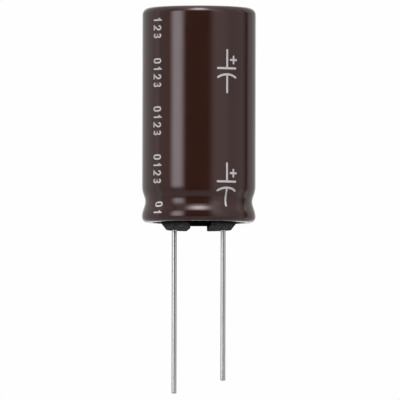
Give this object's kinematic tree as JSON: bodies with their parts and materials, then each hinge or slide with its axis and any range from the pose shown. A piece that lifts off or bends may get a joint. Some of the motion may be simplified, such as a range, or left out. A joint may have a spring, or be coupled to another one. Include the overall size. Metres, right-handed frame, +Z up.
{
  "type": "electrolytic capacitor",
  "caption": "Upright radial aluminium electrolytic capacitor: sleeved can with a rolled bead, rubber bung on two feet, wound roll inside and two wire leads.",
  "frame": {"origin": "on the seating plane, midway between the two leads, where the rubber feet meet a board", "axes": "+Z up through the can, away from the board; the leads stand along X, the longer positive one at -X; +Y completes the right-handed frame, along the gas slot"},
  "size_m": [0.0184, 0.0184, 0.0623],
  "materials": {
    "sleeve": "glossy shrunk film, dark brown",
    "can": "drawn, satin",
    "bung": "moulded, matt black",
    "lead": "tinned wire, bright",
    "tab": "pressed, plain",
    "roll": "wound foil and damp paper",
    "tape": "thin tape"
  },
  "bodies": {
    "root": {"sleeve": "sleeve", "can": "can", "bung": "bung", "anode_lead": "lead", "cathode_lead": "lead", "anode_tab": "tab", "cathode_tab": "tab", "roll": "roll", "roll_tape": "tape"}
  },
  "joints": []
}
